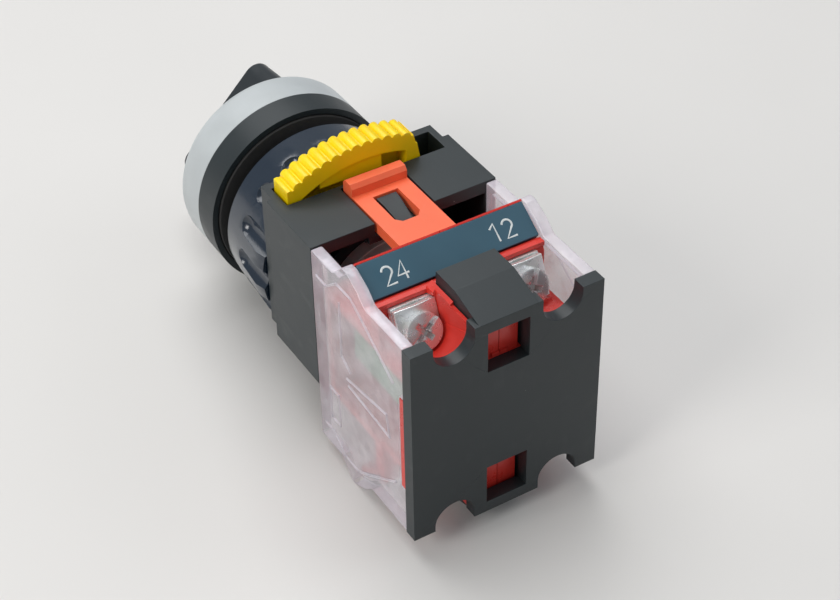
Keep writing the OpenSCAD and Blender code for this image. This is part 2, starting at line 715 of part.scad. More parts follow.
// Square clamp plates, folded along the middle, that press the wires onto the strips
module saddle_clamps() {
  color("gainsboro") both_sides() top_and_bottom() at_screw() difference() {
    translate([0, 0, plate_z[0] + 0.3]) linear_extrude(plate_z[1] - plate_z[0] - 0.5)
      polygon([[-plate_half, clamp_d], [0, clamp_d + clamp_fold], [plate_half, clamp_d],
               [plate_half, head_d - clamp_fold], [0, head_d], [-plate_half, head_d - clamp_fold]]);
    rod(shank_r, 0, head_d + 1);
  }
}

// Domed head with a combined slot and cross recess, its seat at the origin
module terminal_screw() {
  head_end = head_d + head_h;
  recess = head_h * 0.65;
  difference() {
    union() {
      rod(shank_r, -1.6, head_d + eps);
      along_y(head_d) rotate_extrude()
        polygon([[0, 0], [head_r, 0], [head_r, head_h * 0.5], [head_r - 0.35, head_h - 0.4],
                 [head_r - 1, head_h], [0, head_h]]);
    }
    block(-head_r - 1, head_r + 1, head_end - 0.7, head_end + 1, -0.4, 0.4);
    for (a = [0, 90]) rotate([0, a, 0]) block(-1.7, 1.7, head_end - recess, head_end + 1, -0.45, 0.45);
  }
}
module terminal_screws() {
  color("silver") both_sides() top_and_bottom() at_screw() rotate([0, 40, 0]) terminal_screw();
}

// Sliding carrier: a pin in front, a body with a window for the bridge, a spring seat behind
module plunger(window_y0, window_y1) {
  difference() {
    union() {
      translate([plunger_x, tip_y + pin_r, 0]) sphere(r = pin_r);
      rod(pin_r, tip_y + pin_r, plunger_foot_y + 1, plunger_x);
      block(plunger_x - carrier_x, plunger_x + carrier_x, plunger_foot_y, plunger_end, -carrier_z, carrier_z);
      rod(spring_seat_r, plunger_end - eps, plunger_end + 1.2, plunger_x);
    }
    block(plunger_x - 2, plunger_x + 2, window_y0, window_y1, -carrier_z - 1, carrier_z + 1);
  }
}
module plunger_no() { color([0.3, 0.62, 0.45]) plunger(bridge_y - 3.2, bridge_y + 2.2); }
module plunger_nc() {
  color([0.8, 0.2, 0.15]) mirror([1, 0, 0]) plunger(bridge_nc_y - 0.6, bridge_nc_y + bridge_t + 3.2);
}

// Moving strip with a silver rivet at each end. side is +1 where the rivets face the rear.
module bridge(y0, side) {
  block(plunger_x - bridge_half, plunger_x + bridge_half, y0, y0 + bridge_t, -rivet_z - 1.3, rivet_z + 1.3);
  face = side > 0 ? y0 + bridge_t : y0 - rivet_t;
  top_and_bottom() rod(rivet_r, face, face + rivet_t, plunger_x, rivet_z, $fn = 32);
}
module bridge_no() { color("peru") bridge(bridge_y, 1); }
module bridge_nc() { color("peru") mirror([1, 0, 0]) bridge(bridge_nc_y, -1); }

// Silver rivets on the fixed strips: in front on the NO side, behind on the NC side
module contact_rivets() {
  color("gainsboro") top_and_bottom() {
    rod(rivet_r, strip_y - rivet_t, strip_y, plunger_x, rivet_z, $fn = 32);
    rod(rivet_r, jog_y + strip_t, jog_y + strip_t + rivet_t, -plunger_x, rivet_z, $fn = 32);
  }
}

// Contact springs press the bridges towards the fixed contacts
module contact_spring(x, y) { color("gainsboro") translate([x, 0, 0]) along_y(y) spring(1.5, 0.3, 3, 4); }
module contact_spring_no() { contact_spring(plunger_x, bridge_y - 3.1); }
module contact_spring_nc() { contact_spring(-plunger_x, bridge_nc_y + bridge_t + 0.1); }

// Return springs stand between each plunger and the rear wall of its case
module return_spring(side) {
  color("gainsboro") translate([side * plunger_x, 0, 0]) along_y(plunger_end + 0.05)
    spring(spring_r, wire_d, cover_y - wall_t - 0.1 - plunger_end, 5);
}
module return_spring_no() { return_spring(1); }
module return_spring_nc() { return_spring(-1); }

handle();
pointer_insert();
cam_shaft();
detent_balls();
detent_spring();
bezel_ring();
operator_body();
shaft_seal();
panel_gasket();
locking_nut();
adaptor_housing();
lock_lever();
latch_top();
latch_bottom();
contact_case_no();
contact_case_nc();
side_cover_no();
side_cover_nc();
rear_cover();
number_bar_top();
number_bar_bottom();
terminals_no();
terminals_nc();
saddle_clamps();
terminal_screws();
plunger_no();
plunger_nc();
bridge_no();
bridge_nc();
contact_rivets();
contact_spring_no();
contact_spring_nc();
return_spring_no();
return_spring_nc();
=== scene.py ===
"""Looks of a panel selector switch: bezel and handle, ring nut, adaptor and contact block."""
import json
import math

import bpy
from mathutils import Matrix, Vector


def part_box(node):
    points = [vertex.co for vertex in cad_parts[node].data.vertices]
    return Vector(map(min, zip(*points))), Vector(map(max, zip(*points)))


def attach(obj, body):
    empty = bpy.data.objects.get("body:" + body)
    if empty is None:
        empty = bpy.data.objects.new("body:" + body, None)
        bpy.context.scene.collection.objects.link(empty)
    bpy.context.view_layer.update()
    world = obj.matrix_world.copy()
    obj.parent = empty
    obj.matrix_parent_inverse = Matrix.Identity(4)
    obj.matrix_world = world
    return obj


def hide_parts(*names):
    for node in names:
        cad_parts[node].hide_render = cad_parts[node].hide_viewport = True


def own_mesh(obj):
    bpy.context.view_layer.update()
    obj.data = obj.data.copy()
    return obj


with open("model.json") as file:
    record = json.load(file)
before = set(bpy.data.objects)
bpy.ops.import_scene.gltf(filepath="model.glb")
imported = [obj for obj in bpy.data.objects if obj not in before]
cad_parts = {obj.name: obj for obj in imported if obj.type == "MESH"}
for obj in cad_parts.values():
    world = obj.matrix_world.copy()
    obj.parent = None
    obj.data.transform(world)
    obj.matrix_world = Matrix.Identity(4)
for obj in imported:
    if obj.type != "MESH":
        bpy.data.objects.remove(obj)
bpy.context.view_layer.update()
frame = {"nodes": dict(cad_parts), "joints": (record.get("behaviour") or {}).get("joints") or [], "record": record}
MM = 0.001


# ---- Shader maths ----

class Value:
    """One shader socket, so that maths on patterns reads as an expression."""

    def __init__(self, shader, socket):
        self.shader = shader
        self.socket = socket

    def maths(self, operation, *inputs):
        return self.shader.node("ShaderNodeMath", {"operation": operation}, dict(enumerate(inputs)))

    def __add__(self, other):
        return self.maths("ADD", self, other)

    def __radd__(self, other):
        return self.maths("ADD", other, self)

    def __sub__(self, other):
        return self.maths("SUBTRACT", self, other)

    def __rsub__(self, other):
        return self.maths("SUBTRACT", other, self)

    def __mul__(self, other):
        return self.maths("MULTIPLY", self, other)

    def __rmul__(self, other):
        return self.maths("MULTIPLY", other, self)

    def __pow__(self, other):
        return self.maths("POWER", self, other)

    def __abs__(self):
        return self.maths("ABSOLUTE", self)


class Shader:
    """A material under construction: its patterns and its finish."""

    def __init__(self, name, metallic=0.0, **constants):
        self.material = bpy.data.materials.new(name)
        self.material.use_nodes = True
        self.tree = self.material.node_tree
        self.finish = self.tree.nodes["Principled BSDF"]
        self.place = self.node("ShaderNodeTexCoord", {}, {}, "Object")
        self.finish.inputs["Metallic"].default_value = metallic
        for name_, value in constants.items():
            self.finish.inputs[name_.replace("_", " ")].default_value = value

    def node(self, kind, settings, inputs, output=0):
        """Adds a node, sets its settings, feeds its inputs and returns one of its outputs."""
        made = self.tree.nodes.new(kind)
        for name, value in settings.items():
            setattr(made, name, value)
        for name, value in inputs.items():
            self.feed(made.inputs[name], value)
        return Value(self, made.outputs[output])

    def feed(self, socket, value):
        if isinstance(value, Value):
            self.tree.links.new(value.socket, socket)
        else:
            socket.default_value = value

    def stretched(self, x, y, z):
        """Object coordinates, stretched along an axis whose factor is below 1."""
        return self.node("ShaderNodeMapping", {}, {"Vector": self.place, "Scale": (x, y, z)})

    def noise(self, size, detail=2.0, place=None):
        """Soft noise whose lumps are about size metres across."""
        return self.node("ShaderNodeTexNoise", {},
                         {"Vector": place or self.place, "Scale": 1 / size, "Detail": detail})

    def cells(self, size, output="Distance"):
        return self.node("ShaderNodeTexVoronoi", {}, {"Vector": self.place, "Scale": 1 / size}, output)

    def step(self, value, low, high):
        """0 below low, 1 above high, and smooth between them."""
        return self.node("ShaderNodeMapRange", {"interpolation_type": "SMOOTHSTEP"},
                         {0: value, 1: low, 2: high, 3: 0.0, 4: 1.0})

    def mix(self, factor, one, other):
        """A colour between two colours."""
        return self.node("ShaderNodeMix", {"data_type": "RGBA"},
                         {0: factor, 6: rgba(one), 7: rgba(other)}, 2)

    def specks(self, spacing, radius, share):
        """Small round specks in a share of the cells."""
        near = 1 - self.step(self.cells(spacing), radius * 0.6, radius)
        chosen = self.node("ShaderNodeSeparateColor", {}, {0: self.cells(spacing, "Color")}, 0)
        return near * self.step(chosen, 1 - share, 1 - share + 0.02)

    def finished(self, colour, roughness, height=None, relief=0.0, **varying):
        """Feeds the finish with what varies over the surface, and returns the material."""
        self.feed(self.finish.inputs["Base Color"], colour)
        self.feed(self.finish.inputs["Roughness"], roughness)
        for name, value in varying.items():
            self.feed(self.finish.inputs[name.replace("_", " ")], value)
        if height is not None:
            bump = self.node("ShaderNodeBump", {}, {"Strength": 1.0, "Distance": relief, "Height": height})
            self.feed(self.finish.inputs["Normal"], bump)
        return self.material


def rgba(colour):
    """A colour for a socket: three numbers get an alpha, and a link stays as it is."""
    return colour if isinstance(colour, Value) else (*colour, 1.0)


def shade(colour, factor):
    return tuple(min(1.0, channel * factor) for channel in colour)


# ---- Finishes ----

def moulded(name, colour, roughness=0.42, grain=0.16 * MM, relief=0.006 * MM, dust=0.0, **constants):
    """Moulded plastic with a spark-eroded grain, a cloudy tone, polished smears and a little dust."""
    shader = Shader(name, **constants)
    cloud = shader.noise(6 * MM, 3.0)
    pits = shader.noise(grain)
    smear = shader.step(shader.noise(2.2 * MM, 2.0, shader.stretched(1.0, 0.35, 0.6)), 0.55, 0.75)
    tone = shader.mix(cloud, shade(colour, 0.86), shade(colour, 1.14))
    if dust:
        specks = shader.specks(2.6 * MM, 0.035, dust)
        tone = shader.mix(specks, tone, (0.62, 0.6, 0.56))
    rough = roughness - 0.05 + 0.1 * cloud + 0.06 * pits - 0.08 * smear
    return shader.finished(tone, rough, pits, relief)


def plated(name, colour, tint, roughness=0.16, hollow_darkening=0.5, metallic=1.0):
    """Bright plated metal: faint stain, hairline scratches, and darker in the corners and hollows."""
    shader = Shader(name, metallic=metallic)
    stain = shader.step(shader.noise(1.6 * MM, 3.0), 0.42, 0.62)
    scratches = shader.noise(0.09 * MM, 2.0, shader.stretched(1.0, 0.12, 0.3))
    hollows = shader.node("ShaderNodeNewGeometry", {}, {}, "Pointiness")
    corners = 1 - shader.step(hollows, 0.4, 0.49)
    tone = shader.mix(stain, colour, tint)
    # Darker in the corners and hollows, down to a quarter of the colour
    tone = shader.mix(corners * hollow_darkening, tone, shade(colour, 0.25))
    rough = roughness + 0.1 * stain + 0.08 * scratches + 0.15 * corners
    return shader.finished(tone, rough, scratches, 0.002 * MM)


def drawn_wire(name, colour):
    """Spring wire with lines left by the drawing die."""
    shader = Shader(name, metallic=1.0)
    lines = shader.noise(0.05 * MM, 2.0, shader.stretched(0.2, 1.0, 1.0))
    tone = shader.mix(lines, shade(colour, 0.7), shade(colour, 1.2))
    return shader.finished(tone, 0.22 + 0.2 * lines, lines, 0.003 * MM)


def rubber(name):
    """Matt black rubber with a dusty bloom."""
    shader = Shader(name)
    bloom = shader.noise(1.2 * MM, 4.0)
    tone = shader.mix(bloom, (0.012, 0.012, 0.013), (0.035, 0.034, 0.033))
    return shader.finished(tone, 0.7 + 0.2 * bloom, bloom, 0.02 * MM)


def clear_cover(name):
    """Clear moulded cover: see-through walls, rims rougher where frosted and drawn whiter and more opaque as
    painted light from their edges, and a faint lilac haze.
    """
    shader = Shader(name, IOR=1.5, Specular_IOR_Level=0.9, Coat_Weight=0.6, Coat_Roughness=0.06)
    facing = shader.node("ShaderNodeTexCoord", {}, {}, "Normal")
    sideways = abs(shader.node("ShaderNodeSeparateXYZ", {}, {0: facing}, 0))
    rim = 1 - shader.step(sideways, 0.55, 0.95)
    haze = shader.step(shader.noise(3.5 * MM, 3.0), 0.38, 0.7)
    frost = shader.noise(0.12 * MM)
    glance = shader.node("ShaderNodeLayerWeight", {}, {"Blend": 0.35}, "Fresnel")
    # Partly painted light: the rims are drawn whiter and more opaque for the light refracted at their edges, and
    # rougher for their real frosting
    tone = shader.mix(rim, (0.86, 0.83, 0.88), (0.84, 0.8, 0.88))
    alpha = 0.13 + 0.13 * haze + 0.26 * rim + 0.3 * glance
    rough = 0.1 + 0.12 * haze + 0.25 * rim
    return shader.finished(tone, rough, frost, 0.003 * MM, Alpha=alpha)


def printed(name):
    """Off-white ink, a little uneven."""
    shader = Shader(name)
    ink = shader.noise(0.25 * MM, 3.0)
    tone = shader.mix(ink, (0.5, 0.55, 0.56), (0.8, 0.82, 0.8))
    return shader.finished(tone, 0.5 + 0.15 * ink, ink, 0.004 * MM)


def floor_finish():
    """Pale matt table top."""
    shader = Shader("table_top")
    drift = shader.noise(60 * MM, 3.0)
    tone = shader.mix(drift, (0.66, 0.645, 0.625), (0.7, 0.685, 0.665))
    return shader.finished(tone, 0.5 + 0.1 * drift)


BLACK = (0.016, 0.023, 0.026)
FINISHES = {
    "black_plastic": moulded("black_plastic", BLACK, 0.42, dust=0.18),
    "handle_black": moulded("handle_black", (0.016, 0.021, 0.025), 0.34, dust=0.1),
    "grey_plastic": moulded("grey_plastic", (0.46, 0.49, 0.5), 0.38),
    "white_plastic": moulded("white_plastic", (0.78, 0.77, 0.73), 0.4),
    "nut_plastic": moulded("nut_plastic", (0.008, 0.018, 0.034), 0.2, relief=0.003 * MM,
                           Coat_Weight=0.5, Coat_Roughness=0.1),
    "yellow_plastic": moulded("yellow_plastic", (1.0, 0.66, 0.0), 0.34, dust=0.1,
                              Subsurface_Weight=0.12, Subsurface_Scale=0.0008),
    # Painted light: the latch is the same red plastic as the cases, given a lighter, more orange colour for the
    # bright light on it
    "orange_plastic": moulded("orange_plastic", (0.88, 0.15, 0.06), 0.36, dust=0.12,
                              Subsurface_Weight=0.12, Subsurface_Scale=0.0008),
    "red_plastic": moulded("red_plastic", (0.64, 0.035, 0.024), 0.26, relief=0.004 * MM),
    "plunger_red": moulded("plunger_red", (0.5, 0.025, 0.016), 0.28),
    "green_plastic": moulded("green_plastic", (0.05, 0.33, 0.14), 0.3),
    "slate_plastic": moulded("slate_plastic", (0.034, 0.094, 0.136), 0.4, dust=0.15),
    "clear_plastic": clear_cover("clear_plastic"),
    "black_rubber": rubber("black_rubber"),
    "nickel": plated("nickel", (0.92, 0.94, 0.95), (0.8, 0.82, 0.8), 0.2, 0.35, 0.72),
    "bright_steel": plated("bright_steel", (0.75, 0.75, 0.76), (0.68, 0.68, 0.68), 0.1, 0.2),
    "contact_brass": plated("contact_brass", (0.8, 0.52, 0.28), (0.62, 0.36, 0.18), 0.24),
    "silver": plated("silver", (0.88, 0.87, 0.84), (0.7, 0.68, 0.62), 0.22),
    "spring_steel": drawn_wire("spring_steel", (0.55, 0.55, 0.54)),
    "number_ink": printed("number_ink"),
}
SLOTS = {part["node"]: part["material_slot"] for part in frame["record"]["subparts"]}
BODY_OF = {node: body for body, nodes in frame["record"]["behaviour"]["bodies"].items() for node in nodes}


# ---- Modelling helpers ----

FLAT = math.radians(0.8)
WELD = 0.004 * MM


def take(*pieces):
    """Selects just these pieces, the first one active."""
    bpy.ops.object.select_all(action="DESELECT")
    for piece in pieces:
        piece.select_set(True)
    bpy.context.view_layer.objects.active = pieces[0]


def apply_modifier(piece, kind, **settings):
    take(piece)
    modifier = piece.modifiers.new(kind.lower(), kind)
    for name, value in settings.items():
        setattr(modifier, name, value)
    bpy.ops.object.modifier_apply(modifier=modifier.name)


def in_edit_mode(piece):
    """Opens a piece for editing with nothing selected."""
    take(piece)
    bpy.ops.object.mode_set(mode="EDIT")
    bpy.ops.mesh.select_all(action="DESELECT")


def choose(piece, element, test):
    """Opens a piece for editing with just the vertices, edges or polygons that pass a test selected."""
    if bpy.context.mode != "OBJECT":
        bpy.ops.object.mode_set(mode="OBJECT")
    take(piece)
    kinds = ("vertices", "edges", "polygons")
    bpy.context.tool_settings.mesh_select_mode = [kind == element for kind in kinds]
    for kind in kinds:
        for item in getattr(piece.data, kind):
            item.select = kind == element and test(item)
    bpy.ops.object.mode_set(mode="EDIT")


def set_in_place(piece):
    """Puts a piece's place and turn into its mesh."""
    take(piece)
    bpy.ops.object.transform_apply(location=True, rotation=True, scale=True)


def rounded_edges(piece, width, segments=2, angle=18):
    """Bevels the sharp edges and keeps the flat faces flat in the light."""
    apply_modifier(piece, "BEVEL", width=width, segments=segments, limit_method="ANGLE",
                   angle_limit=math.radians(angle), use_clamp_overlap=True, miter_outer="MITER_ARC")
    take(piece)
    bpy.ops.object.shade_smooth()
    apply_modifier(piece, "WEIGHTED_NORMAL", keep_sharp=False, weight=100)


def joined(name, pieces):
    take(*pieces)
    bpy.ops.object.join()
    whole = bpy.context.view_layer.objects.active
    whole.name = name
    return whole


def dressed(piece, finish, body, *nodes):
    """Gives a piece its finish and its body, and the CAD nodes that it stands for."""
    piece.data.materials.clear()
    piece.data.materials.append(FINISHES[finish])
    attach(piece, body)
    if nodes:
        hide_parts(*nodes)
    return piece


def rounded_copy(node, name, width, segments=2, finish=None, angle=18):
    """A copy of a CAD node with its flat faces joined up, without holes in them, and its edges rounded."""
    mesh = frame["nodes"][node].data.copy()
    piece = bpy.data.objects.new(name, mesh)
    bpy.context.scene.collection.objects.link(piece)
    in_edit_mode(piece)
    bpy.ops.mesh.select_all(action="SELECT")
    bpy.ops.mesh.remove_doubles(threshold=WELD)
    bpy.ops.mesh.dissolve_limited(angle_limit=FLAT)
    bpy.ops.mesh.quads_convert_to_tris(quad_method="BEAUTY", ngon_method="BEAUTY")
    bpy.ops.mesh.tris_convert_to_quads(face_threshold=FLAT, shape_threshold=math.pi)
    bpy.ops.mesh.normals_make_consistent(inside=False)
    bpy.ops.object.mode_set(mode="OBJECT")
    if piece.data.has_custom_normals:
        bpy.ops.mesh.customdata_custom_splitnormals_clear()
    rounded_edges(piece, width, segments, angle)
    return dressed(piece, finish or SLOTS[node], BODY_OF[node], node)


def joint(name):
    """The record's own entry for a joint."""
    return next(j for j in frame["joints"] if j["name"] == name)


def centre(node):
    low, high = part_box(node)
    return (low + high) / 2


# ---- Pieces from the design, with their moulded edges ----

def moulded_pieces():
    """Rounded copies of the moulded and pressed parts."""
    rounded_copy("handle", "selector_handle", 0.35 * MM, 3, "handle_black")
    rounded_copy("pointer_insert", "pointer_line", 0.12 * MM)
    rounded_copy("bezel_ring", "bezel", 0.25 * MM)
    rounded_copy("operator_body", "operator_barrel", 0.2 * MM)
    rounded_copy("panel_gasket", "gasket", 0.15 * MM)
    rounded_copy("locking_nut", "ring_nut", 0.18 * MM)
    rounded_copy("adaptor_housing", "adaptor", 0.22 * MM)
    rounded_copy("lock_lever", "safety_lever", 0.1 * MM)
    rounded_copy("latch_top", "release_latch_top", 0.2 * MM)
    rounded_copy("latch_bottom", "release_latch_bottom", 0.2 * MM)
    for side in ("no", "nc"):
        rounded_copy(f"contact_case_{side}", f"case_{side}", 0.12 * MM)
        rounded_copy(f"side_cover_{side}", f"clear_cover_{side}", 0.28 * MM)
        rounded_copy(f"terminals_{side}", f"terminal_strips_{side}", 0.1 * MM)
        rounded_copy(f"plunger_{side}", f"plunger_body_{side}", 0.15 * MM)
        rounded_copy(f"bridge_{side}", f"moving_contact_{side}", 0.08 * MM)
    rounded_copy("rear_cover", "back_plate", 0.35 * MM, 3, angle=10)
    rounded_copy("number_bar_top", "bar_top", 0.12 * MM)
    rounded_copy("number_bar_bottom", "bar_bottom", 0.12 * MM)
    rounded_copy("saddle_clamps", "wire_clamps", 0.12 * MM)
    rounded_copy("cam_shaft", "drive_cam", 0.12 * MM)
    rounded_copy("contact_rivets", "fixed_rivets", 0.06 * MM)


# ---- Terminal screws ----

SCREW = {
    "head_r": 2.6 * MM, "head_h": 2.2 * MM, "dome": 1.0 * MM,
    "shank_r": 1.75 * MM, "shank": 3.7 * MM, "turns": 8, "root": 0.82,
    "tilt": math.radians(22),
}
# Width, length, depth and turn of the slot and of the two arms of the cross, in millimetres and degrees
RECESSES = ((0.8, 8, 0.7, 0), (0.95, 3.5, 1.5, 0), (0.95, 3.5, 1.5, 90))
CROSS_TAPER = 0.72
# How far each screw is turned, by its side and its level
SCREW_TURNS = {(1, 1): 38, (-1, 1): 62, (1, -1): 15, (-1, -1): 80}


def terminal_screw():
    """One screw, its head standing on the origin towards +Z: domed head, slot and cross, threaded shank."""
    head_r, head_h, shank_r, shank = SCREW["head_r"], SCREW["head_h"], SCREW["shank_r"], SCREW["shank"]
    bpy.ops.mesh.primitive_cylinder_add(vertices=64, radius=head_r, depth=head_h,
                                        location=(0, 0, head_h / 2))
    screw = bpy.context.object
    choose(screw, "polygons", lambda face: face.normal.z > 0.9)
    for inset in (0.35 * MM, 0.5 * MM, 0.6 * MM):
        bpy.ops.mesh.inset(thickness=inset, depth=0.0)
    bpy.ops.object.mode_set(mode="OBJECT")
    for vertex in screw.data.vertices:
        if vertex.co.z > head_h * 0.9:
            away = vertex.co.xy.length / head_r
            vertex.co.z = head_h - SCREW["dome"] * away ** 2.6
    choose(screw, "polygons", lambda face: face.normal.z < -0.9)
    bpy.ops.mesh.inset(thickness=head_r - shank_r, depth=0)
    half_pitch = shank / (2 * SCREW["turns"])
    for _ in range(SCREW["turns"]):
        for grow in (SCREW["root"], 1 / SCREW["root"]):
            bpy.ops.mesh.extrude_region_move(TRANSFORM_OT_translate={"value": (0, 0, -half_pitch)})
            bpy.ops.transform.resize(value=(grow, grow, 1))
    bpy.ops.object.mode_set(mode="OBJECT")
    for width, length, depth, angle in RECESSES:
        taper = CROSS_TAPER if depth > 1 else 1
        bpy.ops.mesh.primitive_cube_add(size=1, location=(0, 0, head_h))
        cutter = bpy.context.object
        cutter.scale = (length * MM, width * MM, 2 * depth * MM)
        cutter.rotation_euler.z = math.radians(angle)
        set_in_place(cutter)
        choose(cutter, "vertices", lambda v: v.co.z < head_h)
        bpy.ops.transform.resize(value=(taper, taper, 1), center_override=(0, 0, 0))
        bpy.ops.object.mode_set(mode="OBJECT")
        apply_modifier(screw, "BOOLEAN", object=cutter, operation="DIFFERENCE", solver="EXACT")
        bpy.data.objects.remove(cutter)
    rounded_edges(screw, 0.07 * MM, 2, 32)
    return screw


def terminal_screws():
    """The four terminal screws, tilted towards their notches and each turned its own way."""
    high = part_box("terminal_screws")[1]
    sine, cosine = math.sin(SCREW["tilt"]), math.cos(SCREW["tilt"])
    head_r, head_h = SCREW["head_r"], SCREW["head_h"]
    x = high.x - head_r
    y = high.y - head_h * cosine - (head_r - SCREW["dome"]) * sine
    z = high.z - head_h / 2 * sine - head_r * cosine
    first = terminal_screw()
    screws = []
    for (side, level), turn in SCREW_TURNS.items():
        screw = first.copy()
        screw.data = first.data.copy()
        bpy.context.scene.collection.objects.link(screw)
        screw.matrix_world = (Matrix.Translation((side * x, y, level * z))
                              @ Matrix.Rotation(math.radians(-90) + level * SCREW["tilt"], 4, "X")
                              @ Matrix.Rotation(math.radians(turn), 4, "Z"))
        set_in_place(screw)
        screws.append(screw)
    bpy.data.objects.remove(first)
    dressed(joined("screws", screws), "nickel", "housing", "terminal_screws")


# ---- Springs ----

RETURN_WIRE, CONTACT_WIRE, DETENT_WIRE = 0.45 * MM, 0.3 * MM, 0.35 * MM


def coil(name, node, wire, turns, axis):
    """A compression spring with closed ends, in the space of a CAD spring, along axis 0, 1 or 2."""
    low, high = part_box(node)
    length = (high - low)[axis] - wire
    radius = (high - low)[(axis + 1) % 3] / 2 - wire / 2
    along = Vector([float(k == axis) for k in range(3)])
    across = Vector([float(k == (axis + 1) % 3) for k in range(3)])
    third = along.cross(across)
    start = centre(node) - along * length / 2
    slope = (length - 2 * wire) / (turns - 2)
    curve = bpy.data.curves.new(name, "CURVE")
    curve.dimensions = "3D"
    curve.bevel_depth = wire / 2
    curve.bevel_resolution = 3
    curve.use_fill_caps = True
    steps = 28 * turns
    spline = curve.splines.new("POLY")
    spline.points.add(steps)
    for k, point in enumerate(spline.points):
        turn = k * turns / steps
        first, last = min(turn, 1), max(turn - turns + 1, 0)
        rise = wire * (first + last) + slope * min(max(turn - 1, 0), turns - 2)
        angle = math.tau * turn
        at = start + along * rise + radius * (across * math.cos(angle) + third * math.sin(angle))
        point.co = (*at, 1.0)
    piece = bpy.data.objects.new(name, curve)
    bpy.context.scene.collection.objects.link(piece)
    take(piece)
    bpy.ops.object.convert(target="MESH")
    piece = bpy.context.object
    in_edit_mode(piece)
    bpy.ops.mesh.select_all(action="SELECT")
    bpy.ops.mesh.remove_doubles(threshold=0.0001 * MM)
    bpy.ops.mesh.normals_make_consistent(inside=False)
    bpy.ops.object.mode_set(mode="OBJECT")
    bpy.ops.object.shade_smooth_by_angle(angle=math.radians(50))
    return piece


def springs():
    """Return and contact springs behind each plunger, and the detent spring between the balls."""
    for side in ("no", "nc"):
        return_spring = dressed(coil(f"return_coil_{side}", f"return_spring_{side}", RETURN_WIRE, 6, 1),
                                "spring_steel", "housing", f"return_spring_{side}")
        travel = joint(f"{side}_travel")
        seat = travel["deforming_nodes"][0]["fixed_end_y_m"]
        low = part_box(f"return_spring_{side}")[0]
        1 - travel["range_m"][1] / (seat - low.y)
        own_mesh(return_spring)
        dressed(coil(f"contact_coil_{side}", f"contact_spring_{side}", CONTACT_WIRE, 5, 1),
                "spring_steel", BODY_OF[f"contact_spring_{side}"], f"contact_spring_{side}")
    dressed(coil("detent_coil", "detent_spring", DETENT_WIRE, 14, 0),
            "spring_steel", "knob", "detent_spring")


# ---- Numbers and cover details ----

def arc(x, y, radius, start, end):
    """Points of an arc in a numeral, from one angle to another in degrees."""
    return [(x + radius * math.cos(math.radians(start + (end - start) * k / 10)),
             y + radius * math.sin(math.radians(start + (end - start) * k / 10))) for k in range(11)]


# Strokes of each numeral, in a frame one unit high
NUMERALS = {
    "1": [[(0.06, 0.76), (0.36, 1.0), (0.36, 0.0)]],
    "2": [arc(0.32, 0.7, 0.28, 165, -25) + [(0.03, 0.0), (0.62, 0.0)]],
    "3": [arc(0.3, 0.74, 0.25, 150, -80) + arc(0.3, 0.27, 0.28, 85, -150)],
    "4": [[(0.47, 0.0), (0.47, 1.0), (0.02, 0.3), (0.66, 0.3)]],
}


# Height, stroke and pitch of the numerals, and their rise above the bar's foot
NUMBER = {"height": 2.6 * MM, "stroke": 0.3 * MM, "pitch": 2.0 * MM, "base": 1.1 * MM}
# Distance of each number's near end from the middle, and its level: above or below
NUMBERS = (("24", 10.2 * MM, 1), ("12", -6.35 * MM, 1), ("23", 10.2 * MM, -1), ("11", -6.35 * MM, -1))
NUMBER_RUN = 3.95 * MM
# How far the bar's thickness sets its face in from the corners of its box
BAR_INSET_Y, BAR_INSET_Z = 0.56 * MM, 0.83 * MM


def numeral(strokes, height, width):
    """One numeral as flat rounded strokes in the XY plane."""
    curve = bpy.data.curves.new("numeral", "CURVE")
    curve.dimensions = "3D"
    curve.bevel_depth = width / 2
    curve.bevel_resolution = 2
    curve.use_fill_caps = True
    for stroke in strokes:
        spline = curve.splines.new("POLY")
        spline.points.add(len(stroke) - 1)
        for point, (x, y) in zip(spline.points, stroke):
            point.co = (x * height, y * height, 0, 1)
    piece = bpy.data.objects.new("numeral", curve)
    bpy.context.scene.collection.objects.link(piece)
    take(piece)
    bpy.ops.object.convert(target="MESH")
    return bpy.context.object


def terminal_numbers():
    """The terminal numbers, printed on the two slanted bars so that each reads from the rear."""
    low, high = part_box("number_bar_top")
    top = Vector((0, low.y + BAR_INSET_Y, high.z))
    foot = Vector((0, high.y, low.z + BAR_INSET_Z))
    slope = (top - foot).normalized()
    for number, x, level in NUMBERS:
        right = Vector((-level, 0, 0))
        up = Vector((0, slope.y, level * slope.z))
        out = right.cross(up)
        start = x if level > 0 else x - NUMBER_RUN
        digits = []
        for place, digit in enumerate(number):
            piece = numeral(NUMERALS[digit], NUMBER["height"], NUMBER["stroke"])
            along = right * place * NUMBER["pitch"] + up * NUMBER["base"]
            at = Vector((start, foot.y, level * foot.z)) + along
            turn = Matrix((right, up, out)).transposed().to_4x4()
            piece.matrix_world = Matrix.Translation(at) @ turn @ Matrix.Diagonal((1, 1, 0.14, 1))
            set_in_place(piece)
            digits.append(piece)
        dressed(joined(f"number_{number}", digits), "number_ink", "housing")


def raised_bar(start, end, width, height, face_x):
    """A low bar between two points (y, z) on the outside of a clear cover, as a bevelled strip."""
    (y0, z0), (y1, z1) = start, end
    length = math.hypot(y1 - y0, z1 - z0) * MM
    bpy.ops.mesh.primitive_cube_add(size=1)
    strip = bpy.context.object
    strip.scale = (height, length + width, width)
    strip.rotation_euler.x = math.atan2(z1 - z0, y1 - y0)
    strip.location = (face_x, (y0 + y1) / 2 * MM, (z0 + z1) / 2 * MM)
    set_in_place(strip)
    return strip


# Width, height and edge rounding of the raised lines
LINE = {"width": 0.3 * MM, "height": 0.24 * MM, "round": 0.06 * MM}
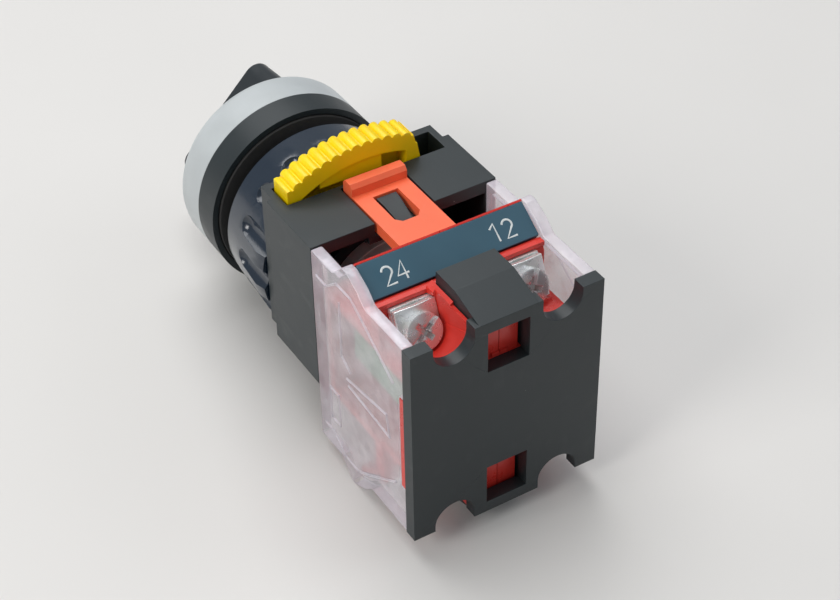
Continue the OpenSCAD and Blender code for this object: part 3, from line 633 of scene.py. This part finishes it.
# Their corners as (y, z) in millimetres
COVER_LINES = [
    # Stepped frame behind the crest
    [(32.0, 13.2), (34.6, 13.2), (37.6, 15.6), (41.2, 15.6), (44.0, 14.0), (51.6, 9.0)],
    # Panel outline
    [(38.0, 12.6), (38.0, 3.4), (40.2, 2.0)],
    [(32.2, -13.2), (34.6, -13.2), (37.6, -15.6), (41.2, -15.6), (44.0, -14.0), (51.4, -9.0)],
    # Tapered snap finger
    [(39.2, 0.2), (49.6, 1.9)],
    [(39.6, -0.8), (50.3, -1.7), (49.6, 1.9)],
    # Small frame at the lower front
    [(34.2, -5.0), (34.2, -10.6), (36.6, -10.6), (36.6, -5.0), (34.2, -5.0)],
]


def cover_details():
    """Raised lines moulded on the outside of each clear cover."""
    for side, sign in (("no", 1), ("nc", -1)):
        low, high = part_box(f"side_cover_{side}")
        face_x = high.x if sign > 0 else low.x
        strips = [raised_bar(start, end, LINE["width"], LINE["height"], face_x)
                  for line in COVER_LINES for start, end in zip(line, line[1:])]
        ribs = joined(f"cover_lines_{side}", strips)
        rounded_edges(ribs, LINE["round"])
        dressed(ribs, "clear_plastic", "housing")


# ---- Studio ----

# Name, place, size, power and colour of each soft box
SOFT_BOXES = (
    ("overhead", (0.0, -0.28, 0.72), 0.7, 4.8, (1, 1, 1)),
    ("key", (0.7, 0.12, 0.45), 0.35, 3.0, (1, 0.98, 0.95)),
    ("fill", (-0.6, 0.3, 0.4), 0.5, 0.9, (0.95, 0.97, 1)),
)
SKY = (0.86, 0.9, 0.95, 1)
SKY_STRENGTH = 0.34
AIM = (0, 0.028, 0)
FLOOR_SIZE = 4.0
# How far the resting lines lie from the middle of the crests and from the lip's front
CREST_OFFSET, LIP_OFFSET = 2.5 * MM, 1.2 * MM
VIEW_FROM = (0.10472, 0.21023, 0.17489)
VIEW_ALONG = (-0.3921, -0.6599, -0.6409)
VIEW_ROLL = math.radians(-1.165)
VIEW_LENS, VIEW_SENSOR = 82.86, 36.0


def resting_floor():
    """A pale floor through the two lines that the switch lies on: its latch lip and cover crests."""
    lip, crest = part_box("latch_bottom")[0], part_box("side_cover_no")
    crest_y = (crest[0].y + crest[1].y) / 2 - CREST_OFFSET
    lip_y = lip.y + LIP_OFFSET
    tilt = math.atan2(crest[0].z - lip.z, crest_y - lip_y)
    bpy.ops.mesh.primitive_grid_add(x_subdivisions=8, y_subdivisions=8, size=FLOOR_SIZE,
                                    location=(0, lip_y, lip.z), rotation=(tilt, 0, 0))
    floor = bpy.context.object
    floor.name = "floor"
    set_in_place(floor)
    floor.data.materials.append(floor_finish())


def soft_box(name, at, size, power, colour):
    """A square area light that faces the switch."""
    bpy.ops.object.light_add(type="AREA", location=at)
    light = bpy.context.object
    light.name = name
    light.rotation_euler = (Vector(AIM) - Vector(at)).to_track_quat("-Z", "Y").to_euler()
    light.data.size = size
    light.data.energy = power
    light.data.color = colour


def studio():
    """Even grey surroundings, a large overhead box, a key beside the NO contact and a fill opposite."""
    world = bpy.data.worlds.new("studio")
    world.use_nodes = True
    background = world.node_tree.nodes["Background"]
    background.inputs["Color"].default_value = SKY
    background.inputs["Strength"].default_value = SKY_STRENGTH
    bpy.context.scene.world = world
    for box in SOFT_BOXES:
        soft_box(*box)
    bpy.context.scene.view_settings.view_transform = "Standard"


def camera():
    """The view from the rear left and above, with a long lens."""
    data = bpy.data.cameras.new("camera")
    data.lens = VIEW_LENS
    data.sensor_width = VIEW_SENSOR
    data.clip_start = 0.01
    view = bpy.data.objects.new("camera", data)
    bpy.context.scene.collection.objects.link(view)
    aimed = Vector(VIEW_ALONG).to_track_quat("-Z", "Y").to_matrix().to_4x4()
    rolled = Matrix.Rotation(VIEW_ROLL, 4, "Z")
    view.matrix_world = Matrix.Translation(VIEW_FROM) @ aimed @ rolled
    bpy.context.scene.camera = view


camera()
studio()
resting_floor()
moulded_pieces()
terminal_screws()
springs()
terminal_numbers()
cover_details()
for node, piece in frame["nodes"].items():
    piece.data.materials.clear()
    piece.data.materials.append(FINISHES[SLOTS[node]])
